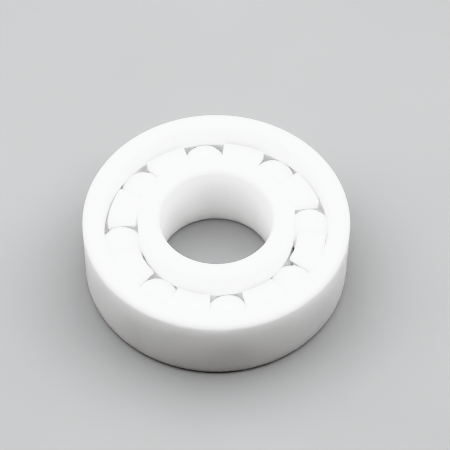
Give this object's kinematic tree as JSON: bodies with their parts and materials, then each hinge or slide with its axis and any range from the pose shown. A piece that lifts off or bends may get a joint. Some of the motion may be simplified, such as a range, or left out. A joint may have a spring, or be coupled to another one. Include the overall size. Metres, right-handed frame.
{
  "type": "ball bearing",
  "caption": "Open deep-groove ball bearing of white ceramic with a crown cage; the inner ring turns freely inside the outer ring.",
  "frame": {"origin": "centre of the lower side face, on the axis of rotation", "axes": "+Z along the axis of rotation, towards the cage's open side; +X through the centre of ball_1"},
  "size_m": [0.035, 0.035, 0.011],
  "materials": {
    "ring_ceramic": "fine ground, satin",
    "ball_ceramic": "lapped, glossy",
    "cage_plastic": "machined PTFE, waxy matt"
  },
  "bodies": {
    "outer_ring": {"outer_ring": "ring_ceramic"},
    "inner_ring": {"inner_ring": "ring_ceramic"},
    "ball_cage": {"ball_cage": "cage_plastic"},
    "ball_1": {"ball_1": "ball_ceramic"},
    "ball_2": {"ball_2": "ball_ceramic"},
    "ball_3": {"ball_3": "ball_ceramic"},
    "ball_4": {"ball_4": "ball_ceramic"},
    "ball_5": {"ball_5": "ball_ceramic"},
    "ball_6": {"ball_6": "ball_ceramic"},
    "ball_7": {"ball_7": "ball_ceramic"},
    "ball_8": {"ball_8": "ball_ceramic"}
  },
  "joints": [
    {"name": "inner_ring_spin", "type": "hinge", "parent": "outer_ring", "child": "inner_ring", "pos_m": [0, 0, 0.0055], "axis": [0, 0, 1], "continuous": true},
    {"name": "ball_cage_spin", "type": "hinge", "parent": "outer_ring", "child": "ball_cage", "pos_m": [0, 0, 0.0055], "axis": [0, 0, 1], "continuous": true},
    {"name": "ball_1_roll", "type": "hinge", "parent": "ball_cage", "child": "ball_1", "pos_m": [0.0125, 0, 0.0055], "axis": [0, 0, 1], "continuous": true},
    {"name": "ball_2_roll", "type": "hinge", "parent": "ball_cage", "child": "ball_2", "pos_m": [0.00884, 0.00884, 0.0055], "axis": [0, 0, 1], "continuous": true},
    {"name": "ball_3_roll", "type": "hinge", "parent": "ball_cage", "child": "ball_3", "pos_m": [0, 0.0125, 0.0055], "axis": [0, 0, 1], "continuous": true},
    {"name": "ball_4_roll", "type": "hinge", "parent": "ball_cage", "child": "ball_4", "pos_m": [-0.00884, 0.00884, 0.0055], "axis": [0, 0, 1], "continuous": true},
    {"name": "ball_5_roll", "type": "hinge", "parent": "ball_cage", "child": "ball_5", "pos_m": [-0.0125, 0, 0.0055], "axis": [0, 0, 1], "continuous": true},
    {"name": "ball_6_roll", "type": "hinge", "parent": "ball_cage", "child": "ball_6", "pos_m": [-0.00884, -0.00884, 0.0055], "axis": [0, 0, 1], "continuous": true},
    {"name": "ball_7_roll", "type": "hinge", "parent": "ball_cage", "child": "ball_7", "pos_m": [0, -0.0125, 0.0055], "axis": [0, 0, 1], "continuous": true},
    {"name": "ball_8_roll", "type": "hinge", "parent": "ball_cage", "child": "ball_8", "pos_m": [0.00884, -0.00884, 0.0055], "axis": [0, 0, 1], "continuous": true}
  ],
  "couplings": [
    {"joint": "ball_cage_spin", "follows": "inner_ring_spin", "ratio": 0.38094},
    {"joint": "ball_1_roll", "follows": "inner_ring_spin", "ratio": -1.9807},
    {"joint": "ball_2_roll", "follows": "inner_ring_spin", "ratio": -1.9807},
    {"joint": "ball_3_roll", "follows": "inner_ring_spin", "ratio": -1.9807},
    {"joint": "ball_4_roll", "follows": "inner_ring_spin", "ratio": -1.9807},
    {"joint": "ball_5_roll", "follows": "inner_ring_spin", "ratio": -1.9807},
    {"joint": "ball_6_roll", "follows": "inner_ring_spin", "ratio": -1.9807},
    {"joint": "ball_7_roll", "follows": "inner_ring_spin", "ratio": -1.9807},
    {"joint": "ball_8_roll", "follows": "inner_ring_spin", "ratio": -1.9807}
  ]
}
